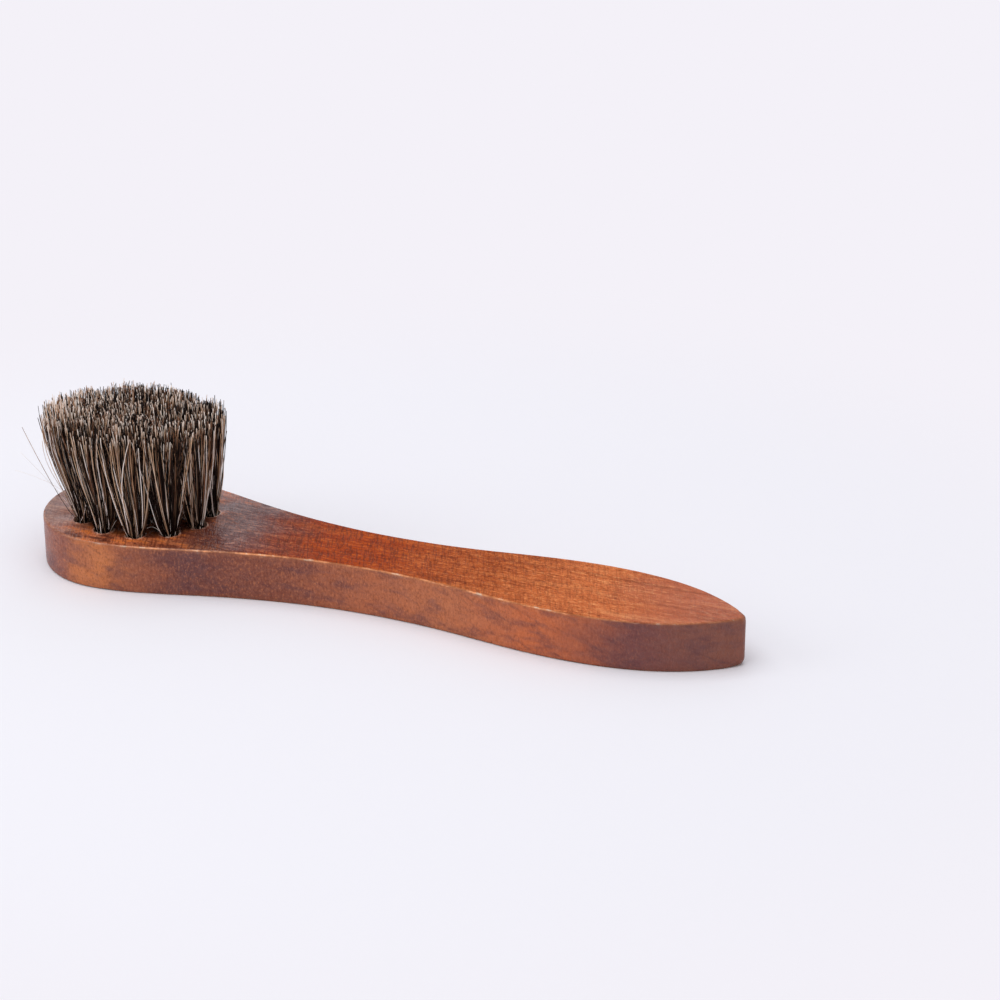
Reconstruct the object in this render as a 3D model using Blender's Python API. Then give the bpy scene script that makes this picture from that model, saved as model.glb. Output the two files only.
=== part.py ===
"""Shoe polish applicator brush: a flat wooden handle whose round head holds tufts of horsehair.

Each tuft is folded in half round a short flat wire and driven into a blind hole, where the wire's
ends bite into the wood. The brush lies on its flat back with the bristles up. +X runs from the
head to the pointed tip, +Z runs up through the bristles, and the origin is on the underside,
halfway along the brush.
"""

import math

import bmesh
import bpy
from mathutils import Matrix, Vector
from mathutils.geometry import interpolate_bezier

# Board: lengths between the stations of its outline, and its widths there
HEAD_END_TO_NECK = 0.086
NECK_TO_GRIP = 0.0468
GRIP_TO_TIP = 0.0367
HEAD_WIDTH = 0.0404
NECK_WIDTH = 0.0180
GRIP_WIDTH = 0.0264
BOARD_THICKNESS = 0.0115
TIP_RADIUS = 0.0018
TIP_HALF_ANGLE = math.radians(42.4)
EDGE_ROUNDING = 0.0007

# How far each side curve keeps its direction, as a share of its own span
SHOULDER_FULLNESS = 0.245
NECK_FULLNESS_TO_HEAD = 0.515
NECK_FULLNESS_TO_GRIP = 0.435
GRIP_FULLNESS_TO_NECK = 0.35
GRIP_FULLNESS_TO_TIP = 0.50
TIP_FULLNESS = 0.28

# Drilled holes: two oval rings round one hole in the middle, all with a drill's conical floor
HOLE_DIAMETER = 0.0044
HOLE_DEPTH = 0.0068
DRILL_POINT_DEPTH = 0.0011
OUTER_RING_LENGTH = 0.031
OUTER_RING_FROM_HEAD_END = 0.0084
OUTER_RING_FROM_SIDE = 0.0065
OUTER_TUFTS = 12
OUTER_FIRST_ANGLE = math.radians(17.5)
INNER_RING_SHARE = 0.5
INNER_TUFTS = 6
INNER_FIRST_ANGLE = OUTER_FIRST_ANGLE + 2 * math.pi / OUTER_TUFTS

# Clearance between a piece and the wood or hair that holds it
FIT_GAP = 0.0003

# Anchor wires
ANCHOR_THICKNESS = 0.0005
ANCHOR_HEIGHT = 0.0014
ANCHOR_BITE = 0.0004
ANCHOR_ABOVE_FOLD = 0.0012
ANCHOR_TURN = math.radians(45.0)

# Horsehair: each strand stands for a lock of hairs
BRISTLE_HEIGHT = 0.026
BINDING_HEIGHT = 0.0006
BINDING_RIM = 0.00035
STRANDS_PER_TUFT = 22
STRAND_SIDES = 3
STRAND_BEND_RADIUS = 0.00030
STRAND_TIP_RADIUS = 0.00015
STRAND_ROOT_GAP = 0.00012
TUFT_TIP_GAP = 0.0005
BEND_HEIGHT = 0.011
BEND_SPREAD_SHARE = 0.60
OUTWARD_LEAN_ALONG = 0.0032
OUTWARD_LEAN_ACROSS = 0.0004
LEAN_TO_HEAD_END = 0.0022
TUFT_TURN = math.radians(65.0)
TRIM_UNEVENNESS = 0.0004
TRIM_STEP = math.radians(115.0)

# Mesh fineness
HEAD_ARC_STEPS = 13
SIDE_CURVE_POINTS = 15
TIP_ARC_STEPS = 6
ROUNDING_STEPS = 2
HOLE_SIDES = 14
GAP_LEVELS = 8
MERGE_DISTANCE = 1e-7
CUTTER_OVERSHOOT = 0.001
SHARP_ANGLE = math.radians(35.0)

# A spiral that turns by the golden angle fills a disc evenly, and this is the least distance
# between its points, times the root of their number, on a disc of radius 1
GOLDEN_ANGLE = math.pi * (3 - math.sqrt(5))
SPIRAL_SPACING = 1.6

WOOD_COLOUR = (0.36, 0.105, 0.033, 1.0)
HAIR_COLOUR = (0.085, 0.058, 0.040, 1.0)
WIRE_COLOUR = (0.62, 0.60, 0.56, 1.0)

BRUSH_LENGTH = HEAD_END_TO_NECK + NECK_TO_GRIP + GRIP_TO_TIP
BINDING_RADIUS = HOLE_DIAMETER / 2 - FIT_GAP
HOLE_FLOOR = BOARD_THICKNESS - HOLE_DEPTH


def clear_scene():
    for item in list(bpy.data.objects):
        bpy.data.objects.remove(item)


def make_material(name, colour, roughness, metallic):
    material = bpy.data.materials.new(name)
    material.use_nodes = True
    shader = material.node_tree.nodes["Principled BSDF"]
    shader.inputs["Base Color"].default_value = colour
    shader.inputs["Roughness"].default_value = roughness
    shader.inputs["Metallic"].default_value = metallic
    return material


def make_object(name, bm, material=None):
    """An object from a bmesh, shaded smooth apart from its sharp edges."""
    mesh = bpy.data.meshes.new(name)
    bm.to_mesh(mesh)
    bm.free()
    mesh.shade_smooth()
    mesh.set_sharp_from_angle(angle=SHARP_ANGLE)
    made = bpy.data.objects.new(name, mesh)
    bpy.context.scene.collection.objects.link(made)
    if material:
        mesh.materials.append(material)
    return made


def add_boolean(target, name, bm, operation):
    """Cuts or joins a shape that isn't a piece of the brush itself."""
    helper = make_object(name, bm)
    helper.hide_render = True
    helper.display_type = "WIRE"
    modifier = target.modifiers.new(name, "BOOLEAN")
    modifier.operation = operation
    modifier.object = helper


def side_curve(start, start_reach, end, end_reach):
    """Points of one side curve of the outline, without its first point."""
    points = interpolate_bezier(start, start + start_reach, end - end_reach, end, SIDE_CURVE_POINTS)
    return points[1:]


def half_outline():
    """The board's edge from the head's end to the tip, on the +Y side, as (x, y) from the head's end."""
    head_radius = HEAD_WIDTH / 2
    points = []
    for step in range(HEAD_ARC_STEPS + 1):
        turn = 0.5 * math.pi * step / HEAD_ARC_STEPS
        points.append(Vector((1 - math.cos(turn), math.sin(turn))) * head_radius)

    widest = Vector((head_radius, head_radius))
    neck = Vector((HEAD_END_TO_NECK, NECK_WIDTH / 2))
    grip = Vector((HEAD_END_TO_NECK + NECK_TO_GRIP, GRIP_WIDTH / 2))
    tip_centre = Vector((BRUSH_LENGTH - TIP_RADIUS, 0))
    tip_normal = Vector((math.sin(TIP_HALF_ANGLE), math.cos(TIP_HALF_ANGLE)))
    tip_slope = Vector((math.cos(TIP_HALF_ANGLE), -math.sin(TIP_HALF_ANGLE)))
    tip_start = tip_centre + tip_normal * TIP_RADIUS

    span = Vector((neck.x - widest.x, 0))
    points += side_curve(widest, span * SHOULDER_FULLNESS, neck, span * NECK_FULLNESS_TO_HEAD)
    span = Vector((NECK_TO_GRIP, 0))
    points += side_curve(neck, span * NECK_FULLNESS_TO_GRIP, grip, span * GRIP_FULLNESS_TO_NECK)
    span = Vector((GRIP_TO_TIP, 0))
    points += side_curve(grip, span * GRIP_FULLNESS_TO_TIP, tip_start, tip_slope * span.x * TIP_FULLNESS)

    first_turn = 0.5 * math.pi - TIP_HALF_ANGLE
    for step in range(1, TIP_ARC_STEPS + 1):
        turn = first_turn * (1 - step / TIP_ARC_STEPS)
        points.append(tip_centre + Vector((math.cos(turn), math.sin(turn))) * TIP_RADIUS)
    return points


def tuft_shares():
    """Each tuft's place as (x, y) on a disc of radius 1: the outer ring, the inner ring, the middle."""
    shares = []
    for count, radius, first_angle in (
        (OUTER_TUFTS, 1, OUTER_FIRST_ANGLE),
        (INNER_TUFTS, INNER_RING_SHARE, INNER_FIRST_ANGLE),
    ):
        for number in range(count):
            angle = first_angle + 2 * math.pi * number / count
            shares.append(Vector((math.cos(angle), math.sin(angle))) * radius)
    shares.append(Vector((0, 0)))
    return shares


def tuft_root(share):
    """The middle of a tuft's hole, as (x, y)."""
    half_length = OUTER_RING_LENGTH / 2
    half_width = HEAD_WIDTH / 2 - OUTER_RING_FROM_SIDE
    middle = OUTER_RING_FROM_HEAD_END + half_length - BRUSH_LENGTH / 2
    return Vector((middle + half_length * share.x, half_width * share.y))


def tuft_tip(share):
    """The middle of a tuft's trimmed end, as (x, y)."""
    lean = Vector((OUTWARD_LEAN_ALONG * share.x - LEAN_TO_HEAD_END, OUTWARD_LEAN_ACROSS * share.y))
    return tuft_root(share) + lean


def tuft_tip_radius(share, shares):
    """How far a tuft opens at its end, so that it stays clear of its nearest neighbour."""
    nearest = min((tuft_tip(share) - tuft_tip(other)).length for other in shares if other is not share)
    return (nearest - TUFT_TIP_GAP) / 2 - STRAND_TIP_RADIUS


def add_turned(bm, profile, centre):
    """Turns a profile of (radius, height) points about a vertical axis through centre."""
    points = [bm.verts.new((centre.x + radius, centre.y, height)) for radius, height in profile]
    edges = [bm.edges.new(pair) for pair in zip(points, points[1:])]
    bmesh.ops.spin(
        bm,
        geom=points + edges,
        cent=(centre.x, centre.y, 0),
        axis=(0, 0, 1),
        angle=2 * math.pi,
        steps=HOLE_SIDES,
        use_merge=True,
    )


def tidy(bm):
    bmesh.ops.remove_doubles(bm, verts=bm.verts, dist=MERGE_DISTANCE)
    bmesh.ops.recalc_face_normals(bm, faces=bm.faces)


def hole_profile(clearance, top):
    """A drilled hole's outline, drawn in by a clearance, from its point up to a height."""
    radius = HOLE_DIAMETER / 2 - clearance
    floor = HOLE_FLOOR + clearance
    return [(0, floor - DRILL_POINT_DEPTH), (radius, floor), (radius, top), (0, top)]


def add_anchor_bar(bm, root, clearance):
    """A flat bar across a hole, as large as an anchor and its clearance. The tuft's fold is under it."""
    length = HOLE_DIAMETER + 2 * (ANCHOR_BITE + clearance)
    width = ANCHOR_THICKNESS + 2 * clearance
    height = ANCHOR_HEIGHT + 2 * clearance
    middle = HOLE_FLOOR + FIT_GAP + ANCHOR_ABOVE_FOLD + ANCHOR_HEIGHT / 2
    place = Matrix.Translation((root.x, root.y, middle)) @ Matrix.Rotation(ANCHOR_TURN, 4, "Z")
    bmesh.ops.create_cube(bm, size=1, matrix=place @ Matrix.Diagonal((length, width, height, 1)))


def make_handle(roots, wood):
    bm = bmesh.new()
    upper = half_outline()
    lower = [Vector((point.x, -point.y)) for point in reversed(upper[1:-1])]
    ring = [bm.verts.new((point.x - BRUSH_LENGTH / 2, point.y, 0)) for point in upper + lower]
    raised = bmesh.ops.extrude_face_region(bm, geom=[bm.faces.new(ring)])
    raised_points = [item for item in raised["geom"] if isinstance(item, bmesh.types.BMVert)]
    bmesh.ops.translate(bm, verts=raised_points, vec=(0, 0, BOARD_THICKNESS))
    bmesh.ops.recalc_face_normals(bm, faces=bm.faces)
    rims = [edge for edge in bm.edges if edge.verts[0].co.z == edge.verts[1].co.z]
    bmesh.ops.bevel(
        bm,
        geom=rims,
        offset=EDGE_ROUNDING,
        offset_type="OFFSET",
        affect="EDGES",
        segments=ROUNDING_STEPS,
        profile=0.5,
        material=-1,
    )
    handle = make_object("wooden_handle", bm, wood)

    drills = bmesh.new()
    bites = bmesh.new()
    for root in roots:
        add_turned(drills, hole_profile(0, BOARD_THICKNESS + CUTTER_OVERSHOOT), root)
        add_anchor_bar(bites, root, FIT_GAP)
    tidy(drills)
    add_boolean(handle, "drilled_holes", drills, "DIFFERENCE")
    add_boolean(handle, "anchor_bites", bites, "DIFFERENCE")


def strand_paths(share, shares, turn):
    """Each strand's middle line in one tuft: its foot in the binding, its bend and its tip."""
    foot_spread = BINDING_RADIUS - BINDING_RIM
    tip_spread = tuft_tip_radius(share, shares)
    paths = []
    for number in range(STRANDS_PER_TUFT):
        radius = math.sqrt((number + 0.5) / STRANDS_PER_TUFT)
        angle = number * GOLDEN_ANGLE + turn
        offset = Vector((math.cos(angle), math.sin(angle))) * radius
        foot = tuft_root(share) + offset * foot_spread
        tip = tuft_tip(share) + offset * tip_spread
        bend = foot.lerp(tip, BEND_SPREAD_SHARE)
        trim = TRIM_UNEVENNESS * (1 - math.cos(number * TRIM_STEP + turn))
        paths.append(
            [
                foot.to_3d() + Vector((0, 0, BOARD_THICKNESS)),
                bend.to_3d() + Vector((0, 0, BOARD_THICKNESS + BEND_HEIGHT)),
                tip.to_3d() + Vector((0, 0, BOARD_THICKNESS + BRISTLE_HEIGHT - trim)),
            ]
        )
    return paths


def strand_radii():
    """A strand's radius at its foot, as thick as the spacing of the feet allows, its bend and its tip."""
    spacing = (BINDING_RADIUS - BINDING_RIM) * SPIRAL_SPACING / math.sqrt(STRANDS_PER_TUFT)
    return (spacing - STRAND_ROOT_GAP) / 2, STRAND_BEND_RADIUS, STRAND_TIP_RADIUS


def add_strand(bm, path, turn):
    """One closed strand: a small ring at each point of its path, joined to the next by its sides."""
    rings = []
    for point, radius in zip(path, strand_radii()):
        place = Matrix.Translation(point) @ Matrix.Rotation(turn, 4, "Z")
        rings.append(bmesh.ops.create_circle(bm, segments=STRAND_SIDES, radius=radius, matrix=place)["verts"])
    for lower, upper in zip(rings, rings[1:]):
        for here in range(STRAND_SIDES):
            there = (here + 1) % STRAND_SIDES
            bm.faces.new((lower[here], lower[there], upper[there], upper[here]))
    bm.faces.new(reversed(rings[0]))
    bm.faces.new(rings[-1])


def make_tuft(name, root, paths, hair):
    """A tuft: its bound root in the hole, slotted for the anchor, and the strands fused to it."""
    binding = bmesh.new()
    add_turned(binding, hole_profile(FIT_GAP, BOARD_THICKNESS + BINDING_HEIGHT), root)
    tidy(binding)
    tuft = make_object(name, binding, hair)

    slot = bmesh.new()
    add_anchor_bar(slot, root, FIT_GAP)
    add_boolean(tuft, name + "_slot", slot, "DIFFERENCE")

    strands = bmesh.new()
    for number, path in enumerate(paths):
        add_strand(strands, path, number * GOLDEN_ANGLE)
    bmesh.ops.recalc_face_normals(strands, faces=strands.faces)
    add_boolean(tuft, name + "_strands", strands, "UNION")


def make_anchor(name, root, wire):
    bm = bmesh.new()
    add_anchor_bar(bm, root, 0)
    make_object(name, bm, wire)


def least_gap(paths):
    """The least distance between two strands' surfaces above the bindings, measured level by level."""
    foot_radius, bend_radius, tip_radius = strand_radii()
    least = BRUSH_LENGTH
    for level in range(GAP_LEVELS + 1):
        share = level / GAP_LEVELS
        rise = max(share, BINDING_HEIGHT / BEND_HEIGHT)
        stages = (
            ([path[0].lerp(path[1], rise) for path in paths], foot_radius + (bend_radius - foot_radius) * rise),
            ([path[1].lerp(path[2], share) for path in paths], bend_radius + (tip_radius - bend_radius) * share),
        )
        for points, radius in stages:
            for number, point in enumerate(points):
                for other in points[:number]:
                    least = min(least, (point.xy - other.xy).length - 2 * radius)
    return least


def main():
    clear_scene()
    wood = make_material("stained_wood", WOOD_COLOUR, 0.42, 0.0)
    hair = make_material("horsehair", HAIR_COLOUR, 0.5, 0.0)
    wire = make_material("anchor_wire", WIRE_COLOUR, 0.35, 1.0)

    shares = tuft_shares()
    make_handle([tuft_root(share) for share in shares], wood)
    strands = []
    for number, share in enumerate(shares, start=1):
        paths = strand_paths(share, shares, number * TUFT_TURN)
        make_tuft(f"horsehair_tuft_{number:02d}", tuft_root(share), paths, hair)
        make_anchor(f"anchor_wire_{number:02d}", tuft_root(share), wire)
        strands += paths
    print(f"{len(strands)} strands, least gap between two {least_gap(strands) * 1000:.2f} mm")


main()
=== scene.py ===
"""Shoe polish applicator brush, dressed for a studio picture.

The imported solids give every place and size. The board, the tufts and their anchor wires get their
finished shapes and materials here. The brush lies on its flat back, +X runs from the head to the
pointed tip, +Z runs up through the bristles, and every length in the code is in metres.
"""

import math
import random

import bmesh
import bpy
from bmesh.types import BMEdge, BMVert
from bpy.props import (
    FloatProperty,
    FloatVectorProperty,
    IntProperty,
    PointerProperty,
)
from mathutils import Matrix, Vector, noise


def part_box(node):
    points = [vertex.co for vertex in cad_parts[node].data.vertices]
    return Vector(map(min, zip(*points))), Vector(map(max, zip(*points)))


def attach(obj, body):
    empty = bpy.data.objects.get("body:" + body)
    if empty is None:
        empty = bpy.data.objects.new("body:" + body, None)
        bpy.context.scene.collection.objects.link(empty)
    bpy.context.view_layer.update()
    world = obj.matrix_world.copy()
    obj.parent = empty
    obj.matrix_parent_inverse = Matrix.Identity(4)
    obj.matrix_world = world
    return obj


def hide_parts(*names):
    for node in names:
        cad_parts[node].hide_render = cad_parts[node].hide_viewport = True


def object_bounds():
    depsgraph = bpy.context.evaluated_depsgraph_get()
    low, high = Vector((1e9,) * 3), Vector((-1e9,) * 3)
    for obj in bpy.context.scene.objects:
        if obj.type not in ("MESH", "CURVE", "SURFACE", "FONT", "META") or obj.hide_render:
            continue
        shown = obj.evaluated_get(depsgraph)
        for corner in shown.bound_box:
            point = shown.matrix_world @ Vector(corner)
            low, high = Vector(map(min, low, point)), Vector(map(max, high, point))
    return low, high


bl_info = {
    "name": "Shoe polish applicator brush",
    "version": (1, 0, 0),
    "blender": (4, 5, 0),
    "location": "View3D > Sidebar > Polish brush",
    "description": "Builds a wooden polish brush with tufts of horsehair round its packed solids",
    "category": "Object",
}

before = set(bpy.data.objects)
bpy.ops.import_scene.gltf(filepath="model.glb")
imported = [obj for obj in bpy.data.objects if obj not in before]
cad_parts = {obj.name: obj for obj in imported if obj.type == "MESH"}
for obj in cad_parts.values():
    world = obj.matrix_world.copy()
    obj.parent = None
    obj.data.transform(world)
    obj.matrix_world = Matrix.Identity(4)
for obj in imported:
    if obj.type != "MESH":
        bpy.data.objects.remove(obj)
cad_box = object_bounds()

BOARD_NODE = "wooden_handle"
TUFT_NODES = sorted(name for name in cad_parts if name.startswith("horsehair_tuft_"))
WIRE_NODES = sorted(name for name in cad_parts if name.startswith("anchor_wire_"))
BOARD_LOW, BOARD_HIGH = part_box(BOARD_NODE)
BRUSH_TOP = cad_box[1].z

MM = 0.001
MICROMETRE = 0.000001
GOLDEN_ANGLE = math.pi * (3 - math.sqrt(5))
QUARTER_ARC_HANDLE = 4 / 3 * math.tan(math.pi / 8)

# Outline of the board: where its neck and its widest grip are, and how full each curve is
HEAD_END_TO_NECK = 86.0 * MM
NECK_TO_GRIP = 46.8 * MM
SHOULDER_FULLNESS = 0.245
NECK_FULLNESS_TO_HEAD = 0.515
NECK_FULLNESS_TO_GRIP = 0.435
GRIP_FULLNESS_TO_NECK = 0.35
GRIP_FULLNESS_TO_TIP = 0.50
TIP_FULLNESS = 0.28
TIP_HALF_ANGLE = math.radians(42.4)

# The tip's upright edge is rounded over at its top and its foot, over this length of the tip
TIP_WEAR_LENGTH = 3.2 * MM
TIP_WEAR_TOP = 0.9 * MM
TIP_WEAR_FOOT = 1.3 * MM

# Wear of the long edges: depth all over; share of pale wear and painted highlight on lower, far and
# unheld ones; and the held stretch
DULLED_DEPTH = 0.10 * MM
LOWER_EDGE_PALENESS = 0.35
FAR_EDGE_PALENESS = 0.45
UNHELD_EDGE_WEAR = 0.30
HELD_FROM = -64.0 * MM
HELD_TO = 58.0 * MM

# Fineness of the board's mesh
OUTLINE_STEPS = 110
OUTLINE_SPACING = 0.16 * MM
ARRIS_STEPS = 5
FACE_BORDER = 0.35 * MM
WALL_CUTS = 11
HOLE_SIDES = 28

# The floor turns from its lit tone to the background's even one between these distances
EVEN_FROM = 0.11
EVEN_FULL = 0.21

# Backdrop paper: flat from front to back, then bent up and carried on upright
PAPER_HALF_WIDTH = 3.0
PAPER_FRONT = -2.5
PAPER_BACK = 1.2
PAPER_BEND_RADIUS = 1.2
PAPER_BEND_STEPS = 24
PAPER_RISE = 1.5
PAPER_UNDER_BRUSH = 0.02 * MM

# Lamps: name, place, point aimed at, size, share of the lamp power, colour; and the sky's colour
LAMPS = (
    ("overhead_softbox", (-0.20, -0.13, 1.5), (0, 0.05, 0), 1.5, 1.0, (0.935, 0.975, 1.0)),
    ("left_softbox", (-0.75, -0.45, 0.45), (-0.05, 0, 0.01), 0.5, 0.09, (0.97, 0.985, 1.0)),
)
SKY_COLOUR = (1.0, 0.97, 0.95, 1.0)

# Camera, with the picture's viewing angle
CAMERA_LENS = 102.85
CAMERA_SENSOR = 36.0
CAMERA_PLACE = (0.24633, -0.52620, 0.28000)
CAMERA_TURN = (math.radians(66.233), 0, math.radians(22.538))

# Drilled holes, and the wood round each that its ragged lip takes up
HOLE_FLOOR = 4.7 * MM
HOLE_POINT = 3.6 * MM
LIP_WIDTH = 0.55 * MM

# Ring of tufts, whose tips lean outwards and towards the head's end
RING_MIDDLE_FROM_HEAD_END = 23.9 * MM
RING_HALF_LENGTH = 15.5 * MM
RING_HALF_WIDTH = 13.7 * MM


def linear(red, green, blue):
    """A colour written as it looks on a screen, 0 to 255, as the linear values that shaders take."""
    parts = []
    for value in (red, green, blue):
        share = value / 255
        parts.append(share / 12.92 if share <= 0.04045 else ((share + 0.055) / 1.055) ** 2.4)
    return (*parts, 1.0)


class BrushBoardSettings(bpy.types.PropertyGroup):
    """Sizes and colours of the wooden board."""

    neck_width: FloatProperty(
        name="Neck width",
        description="Width of the board at its narrowest",
        default=18.0 * MM,
        unit="LENGTH",
    )
    grip_width: FloatProperty(
        name="Grip width",
        description="Width of the board at the widest part of its grip",
        default=26.4 * MM,
        unit="LENGTH",
    )
    tip_radius: FloatProperty(
        name="Tip radius",
        description="Rounding of the pointed tip, seen from above",
        default=1.8 * MM,
        unit="LENGTH",
    )
    arris: FloatProperty(
        name="Arris",
        description="Rounding left on the board's long edges by sanding",
        default=0.42 * MM,
        unit="LENGTH",
    )
    chip_depth: FloatProperty(
        name="Chip depth",
        description="Deepest nick along the long edges",
        default=0.32 * MM,
        unit="LENGTH",
    )
    hole_diameter: FloatProperty(
        name="Hole diameter",
        description="Drill size of the tufts' holes",
        default=4.4 * MM,
        unit="LENGTH",
    )
    # The worn wood's pale tone is partly a painted highlight along the upper near edge
    wear_highlight_colour: FloatVectorProperty(
        name="Worn wood",
        description="Pale wood where the stain is rubbed off the edges",
        default=linear(246, 164, 112),
        size=4,
        subtype="COLOR",
    )
    line_colour: FloatVectorProperty(
        name="Stain in pores",
        description="Dark stain held in the pores and saw marks",
        default=linear(84, 34, 20),
        size=4,
        subtype="COLOR",
    )


class BrushBristleSettings(bpy.types.PropertyGroup):
    """Sizes and colours of the horsehair."""

    hairs_per_tuft: IntProperty(
        name="Hairs per tuft",
        description="Number of hair ends that stand out of one hole",
        default=235,
        min=20,
        max=600,
    )
    hair_diameter: FloatProperty(
        name="Hair diameter",
        description="Thickness of an average hair near its root",
        default=0.24 * MM,
        unit="LENGTH",
    )
    bundle_diameter: FloatProperty(
        name="Bundle diameter",
        description="Thickness of a tuft where it leaves its hole",
        default=3.5 * MM,
        unit="LENGTH",
    )
    tuft_spread: FloatProperty(
        name="Tuft spread",
        description="How far a tuft opens round its middle at the trimmed end",
        default=5.4 * MM,
        unit="LENGTH",
    )
    unevenness: FloatProperty(
        name="Trim unevenness",
        description="Spread of the hairs' heights at the trimmed end",
        default=0.30 * MM,
        unit="LENGTH",
    )
    dark_hair: FloatVectorProperty(
        name="Dark hair",
        description="Colour of the darkest hairs",
        default=linear(14, 9, 8),
        size=4,
        subtype="COLOR",
    )
    brown_hair: FloatVectorProperty(
        name="Brown hair",
        description="Colour of an average hair",
        default=linear(146, 102, 76),
        size=4,
        subtype="COLOR",
    )
    pale_hair: FloatVectorProperty(
        name="Pale hair",
        description="Colour of the fair and silver hairs",
        default=linear(255, 243, 237),
        size=4,
        subtype="COLOR",
    )


class BrushAnchorSettings(bpy.types.PropertyGroup):
    """Finish of the anchor wires inside the board."""

    wire_colour: FloatVectorProperty(
        name="Wire",
        description="Colour of the flat steel wire",
        default=linear(196, 190, 182),
        size=4,
        subtype="COLOR",
    )


class BrushStageSettings(bpy.types.PropertyGroup):
    """Floor, lamps and camera."""

    floor_colour: FloatVectorProperty(
        name="Floor",
        description="Colour of the floor and the backdrop",
        default=linear(241, 240, 247),
        size=4,
        subtype="COLOR",
    )
    background_colour: FloatVectorProperty(
        name="Background",
        description="Even tone in which the camera sees the far floor, the backdrop and the sky",
        default=linear(244, 241, 248),
        size=4,
        subtype="COLOR",
    )
    sky_strength: FloatProperty(
        name="Sky strength",
        description="Strength of the even light from all round",
        default=0.57,
        min=0.0,
    )
    lamp_power: FloatProperty(
        name="Lamp power",
        description="Power of the large soft lamp overhead, in watts",
        default=13.3,
        min=0.0,
        subtype="POWER",
    )


# Material sheets


class Sheet:
    """Lays out the nodes of one material, or of the sky, left to right, and links them."""

    def __init__(self, owner):
        owner.use_nodes = True
        self.owner = owner
        self.nodes = owner.node_tree.nodes
        self.links = owner.node_tree.links
        self.column = 0

    def add(self, kind, sockets=(), **settings):
        """A node with its settings, and its inputs given as values or as other nodes' outputs."""
        made = self.nodes.new(kind)
        self.column += 1
        made.location = (180 * self.column - 6000, -40 * (self.column % 6))
        for key, value in settings.items():
            setattr(made, key, value)
        for key, value in dict(sockets).items():
            self.feed(made.inputs[key], value)
        return made

    def feed(self, socket, value):
        """Links an output to an input, or sets the input's own value."""
        if isinstance(value, bpy.types.NodeSocket):
            self.links.new(value, socket)
        else:
            socket.default_value = value

    def reckon(self, operation, first, second, third=0.0, clamp=False):
        """A Math node's output."""
        sockets = {0: first, 1: second, 2: third}
        return self.add("ShaderNodeMath", sockets, operation=operation, use_clamp=clamp).outputs[0]

    def times(self, first, second, clamp=False):
        """Two values multiplied."""
        return self.reckon("MULTIPLY", first, second, clamp=clamp)

    def place(self, scale=(1, 1, 1), turn=0.0, slope=0.0, shift=(0, 0, 0)):
        """Object coordinates in millimetres, turned from above, sloped, stretched and shifted."""
        coordinates = self.add("ShaderNodeTexCoord").outputs["Object"]
        sockets = {"Vector": coordinates, "Rotation": (0, slope, turn), "Scale": (1000, 1000, 1000)}
        turned = self.add("ShaderNodeMapping", sockets).outputs[0]
        sockets = {"Vector": turned, "Scale": scale, "Location": shift}
        return self.add("ShaderNodeMapping", sockets).outputs[0]

    def cloud(self, where, detail=2.0, roughness=0.5, distortion=0.0):
        """Noise from 0 to 1 at the places given."""
        sockets = {
            "Vector": where,
            "Scale": 1.0,
            "Detail": detail,
            "Roughness": roughness,
            "Distortion": distortion,
        }
        return self.add("ShaderNodeTexNoise", sockets).outputs["Fac"]

    def span(self, value, low, high, to_low=0.0, to_high=1.0):
        """The value's place between two limits, eased at both and held outside them."""
        sockets = {"Value": value, "From Min": low, "From Max": high, "To Min": to_low, "To Max": to_high}
        return self.add("ShaderNodeMapRange", sockets, interpolation_type="SMOOTHSTEP").outputs[0]

    def ramp(self, value, stops, smooth=True):
        """A colour from (place, colour) stops."""
        made = self.add("ShaderNodeValToRGB", {"Fac": value})
        made.color_ramp.interpolation = "EASE" if smooth else "LINEAR"
        elements = made.color_ramp.elements
        while len(elements) < len(stops):
            elements.new(0.5)
        for element, (place, colour) in zip(elements, stops):
            element.position = place
            element.color = colour
        return made.outputs["Color"]

    def mix(self, share, first, second):
        """Two colours mixed by a share."""
        sockets = {"Factor": share, "A": first, "B": second}
        made = self.add("ShaderNodeMix", sockets, data_type="RGBA", clamp_factor=True)
        return made.outputs["Result"]

    def tint(self, colour, value, low, high, strength, tone, within=None):
        """A colour that turns to another tone as a value goes from one limit to the other."""
        share = self.span(value, low, high, 0.0, strength)
        if within is not None:
            share = self.times(share, within)
        return self.mix(share, colour, tone)

    def reach(self, where):
        """How far a place is from the origin."""
        return self.add("ShaderNodeVectorMath", {0: where}, operation="LENGTH").outputs["Value"]

    def attribute(self, name):
        """A number that the mesh carries at each point."""
        return self.add("ShaderNodeAttribute", attribute_name=name).outputs["Fac"]

    def bump(self, height, depth):
        """The surface's direction with a height from 0 to 1 standing that deep."""
        sockets = {"Height": height, "Strength": 1.0, "Distance": depth}
        return self.add("ShaderNodeBump", sockets).outputs["Normal"]

    def seen(self):
        """1 where a ray comes from the camera or from gloss or glass, and 0 where it gathers light."""
        path = self.add("ShaderNodeLightPath").outputs
        share = path["Is Camera Ray"]
        for name in ("Is Glossy Ray", "Is Transmission Ray"):
            share = self.reckon("ADD", share, path[name], clamp=True)
        return share

    def blend_surface(self, output, share, first, second):
        """Gives an output node its surface: two shaders mixed by a share."""
        mixed = self.add("ShaderNodeMixShader", {0: share, 1: first.outputs[0], 2: second.outputs[0]})
        self.feed(self.nodes[output].inputs["Surface"], mixed.outputs[0])

    def finish(self, sockets, shader="Principled BSDF"):
        """What the sheet belongs to, with its shader's inputs given as values or as nodes' outputs."""
        for name, value in sockets.items():
            self.feed(self.nodes[shader].inputs[name], value)
        return self.owner


def grey(value):
    """A neutral colour of one value."""
    return (value, value, value, 1.0)


def stained(*rows):
    """Stops for a ramp, from rows of a place and the tone there, red, green and blue."""
    return [(place, linear(*tone)) for place, *tone in rows]
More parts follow.
